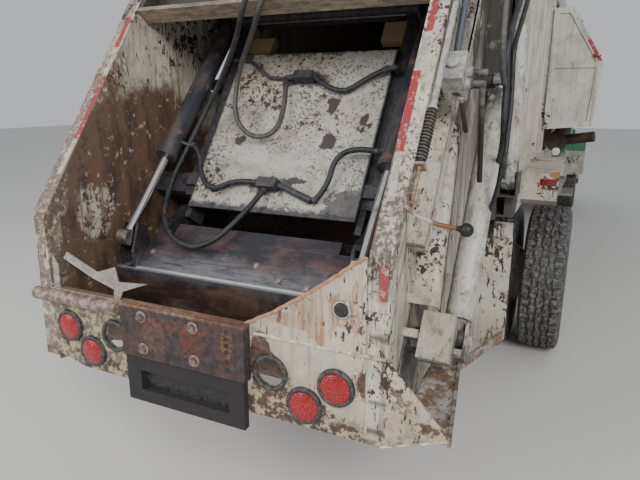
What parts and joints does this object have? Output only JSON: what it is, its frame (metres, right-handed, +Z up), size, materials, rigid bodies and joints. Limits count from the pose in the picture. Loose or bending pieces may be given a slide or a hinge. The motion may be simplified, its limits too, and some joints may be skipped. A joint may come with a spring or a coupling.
{
  "type": "garbage truck",
  "caption": "Rear loading garbage truck: bonneted cab, hollow ribbed body with side bins, and a lifting tailgate whose packing blade rides on an inclined slide.",
  "frame": {"origin": "on the ground, midway along and across the truck", "axes": "+Z up, +Y towards the nose, +X to the truck's right"},
  "size_m": [2.66, 9.504, 2.95],
  "materials": {
    "chassis_black": "satin",
    "cast_dark": "rough",
    "bumper_grey": "satin",
    "tank_aluminium": "satin",
    "exhaust_steel": "rough",
    "fender_paint": "weathered",
    "body_cream": "weathered",
    "tailgate_cream": "weathered",
    "worn_steel": "rusty",
    "cab_green": "gloss",
    "window_glass": "clear",
    "cab_trim": "grained",
    "bright_trim": "polished",
    "lamp_clear": "clear",
    "lamp_red": "gloss",
    "rust_dark": "rusty",
    "galvanised": "spangled",
    "valve_grey": "oily",
    "carriage_white": "weathered",
    "blade_steel": "worn bright",
    "cylinder_cream": "dirty",
    "chrome_rod": "polished",
    "tyre_rubber": "matte",
    "hose_rubber": "matte"
  },
  "bodies": {
    "chassis": {"chassis_frame": "chassis_black", "front_axle": "cast_dark", "rear_axle": "cast_dark", "engine_block": "cast_dark", "front_bumper": "bumper_grey", "fuel_tank": "tank_aluminium", "exhaust_pipe": "exhaust_steel", "fenders": "fender_paint", "body_floor": "body_cream", "body_roof": "body_cream", "body_front_wall": "body_cream", "body_rear_frame": "body_cream", "body_side_left": "body_cream", "body_side_right": "body_cream", "side_bin_left": "body_cream", "side_bin_right": "body_cream", "cab_floor": "cab_green", "cab_back_wall": "cab_green", "cab_roof": "cab_green", "cab_front_frame": "cab_green", "cab_glass": "window_glass", "cab_interior": "cab_trim"},
    "hood": {"hood": "cab_green", "grille": "bright_trim", "headlamps": "lamp_clear"},
    "ejector": {"ejector_panel": "worn_steel"},
    "tailgate": {"tailgate_side_left": "tailgate_cream", "tailgate_side_right": "tailgate_cream", "hopper_trough": "worn_steel", "light_panel": "tailgate_cream", "tailgate_roof": "tailgate_cream", "tail_lamps": "lamp_red", "sill_bracket": "rust_dark", "riding_step": "galvanised", "valve_controls": "valve_grey", "slide_cylinders": "cylinder_cream"},
    "carriage": {"carriage": "carriage_white", "slide_rods": "chrome_rod", "hose_long": "hose_rubber", "hose_wrapped": "hose_rubber", "hose_upper": "hose_rubber", "hose_lower_left": "hose_rubber", "hose_lower_right": "hose_rubber"},
    "packer_blade": {"packer_blade": "blade_steel"},
    "blade_cylinders": {"blade_cylinders": "cylinder_cream"},
    "blade_rods": {"blade_rods": "chrome_rod"},
    "lift_cylinders": {"lift_cylinders": "cylinder_cream"},
    "lift_rods": {"lift_rods": "chrome_rod"},
    "knuckle_left": {"steering_knuckle_left": "cast_dark"},
    "front_wheel_left": {"front_wheel_left": "tyre_rubber"},
    "rear_wheels_left": {"rear_wheels_left": "tyre_rubber"},
    "door_left": {"cab_door_left": "cab_green", "door_glass_left": "window_glass"},
    "bin_lid_left": {"bin_lid_left": "body_cream"},
    "knuckle_right": {"steering_knuckle_right": "cast_dark"},
    "front_wheel_right": {"front_wheel_right": "tyre_rubber"},
    "rear_wheels_right": {"rear_wheels_right": "tyre_rubber"},
    "door_right": {"cab_door_right": "cab_green", "door_glass_right": "window_glass"},
    "bin_lid_right": {"bin_lid_right": "body_cream"}
  },
  "joints": [
    {"name": "steer_left", "type": "hinge", "parent": "chassis", "child": "knuckle_left", "pos_m": [-0.87, 3.83, 0.52], "axis": [0, 0, 1], "range_deg": [-35, 35]},
    {"name": "front_spin_left", "type": "hinge", "parent": "knuckle_left", "child": "front_wheel_left", "pos_m": [-1.03, 3.83, 0.52], "axis": [1, 0, 0], "continuous": true},
    {"name": "rear_spin_left", "type": "hinge", "parent": "chassis", "child": "rear_wheels_left", "pos_m": [-0.89, -1.91, 0.52], "axis": [1, 0, 0], "continuous": true},
    {"name": "door_hinge_left", "type": "hinge", "parent": "chassis", "child": "door_left", "pos_m": [-1.066, 3.226, 1.4], "axis": [0, 0, -1], "range_deg": [0, 65]},
    {"name": "bin_lid_hinge_left", "type": "hinge", "parent": "chassis", "child": "bin_lid_left", "pos_m": [-1.06061, 0.27, 2.47361], "axis": [0, 1, 0], "range_deg": [0, 75]},
    {"name": "steer_right", "type": "hinge", "parent": "chassis", "child": "knuckle_right", "pos_m": [0.87, 3.83, 0.52], "axis": [0, 0, 1], "range_deg": [-35, 35]},
    {"name": "front_spin_right", "type": "hinge", "parent": "knuckle_right", "child": "front_wheel_right", "pos_m": [1.03, 3.83, 0.52], "axis": [1, 0, 0], "continuous": true},
    {"name": "rear_spin_right", "type": "hinge", "parent": "chassis", "child": "rear_wheels_right", "pos_m": [0.89, -1.91, 0.52], "axis": [1, 0, 0], "continuous": true},
    {"name": "door_hinge_right", "type": "hinge", "parent": "chassis", "child": "door_right", "pos_m": [1.066, 3.226, 1.4], "axis": [0, 0, 1], "range_deg": [0, 65]},
    {"name": "bin_lid_hinge_right", "type": "hinge", "parent": "chassis", "child": "bin_lid_right", "pos_m": [1.06061, 0.27, 2.47361], "axis": [0, -1, 0], "range_deg": [0, 75]},
    {"name": "hood_tilt", "type": "hinge", "parent": "chassis", "child": "hood", "pos_m": [0, 4.57, 0.96], "axis": [-1, 0, 0], "range_deg": [0, 60]},
    {"name": "ejector_slide", "type": "slide", "parent": "chassis", "child": "ejector", "axis": [0, -1, 0], "range_m": [0, 3.4]},
    {"name": "tailgate_lift", "type": "hinge", "parent": "chassis", "child": "tailgate", "pos_m": [0, -2.81, 2.905], "axis": [-1, 0, 0], "range_deg": [0, 80]},
    {"name": "carriage_slide", "type": "slide", "parent": "tailgate", "child": "carriage", "axis": [0, 0.5878, 0.809], "range_m": [0, 0.72], "deforming": ["hose_long", "hose_wrapped"]},
    {"name": "blade_swing", "type": "hinge", "parent": "carriage", "child": "packer_blade", "pos_m": [0, -4.03, 1.25], "axis": [-1, 0, 0], "range_deg": [-20, 65]},
    {"name": "blade_cylinder_swing", "type": "hinge", "parent": "carriage", "child": "blade_cylinders", "pos_m": [0, -3.47507, 2.19413], "axis": [-1, 0, 0], "range_deg": [-10, 10], "deforming": ["hose_lower_left", "hose_lower_right"]},
    {"name": "blade_rod_slide", "type": "slide", "parent": "blade_cylinders", "child": "blade_rods", "axis": [0, -0.6728, -0.7398], "range_m": [-0.36, 0.14]},
    {"name": "lift_cylinder_swing", "type": "hinge", "parent": "chassis", "child": "lift_cylinders", "pos_m": [0, -2.92, 1.33], "axis": [-1, 0, 0], "range_deg": [-5, 5]},
    {"name": "lift_rod_slide", "type": "slide", "parent": "lift_cylinders", "child": "lift_rods", "axis": [0, -0.0696, 0.9976], "range_m": [-0.02, 0.6]}
  ],
  "couplings": [
    {"joint": "steer_right", "follows": "steer_left", "ratio": 1},
    {"joint": "blade_cylinder_swing", "follows": "blade_swing", "ratio": 0.12},
    {"joint": "blade_rod_slide", "follows": "blade_swing", "m_per_rad": -0.28},
    {"joint": "lift_cylinder_swing", "follows": "tailgate_lift", "ratio": -0.058},
    {"joint": "lift_rod_slide", "follows": "tailgate_lift", "m_per_rad": 0.316}
  ]
}
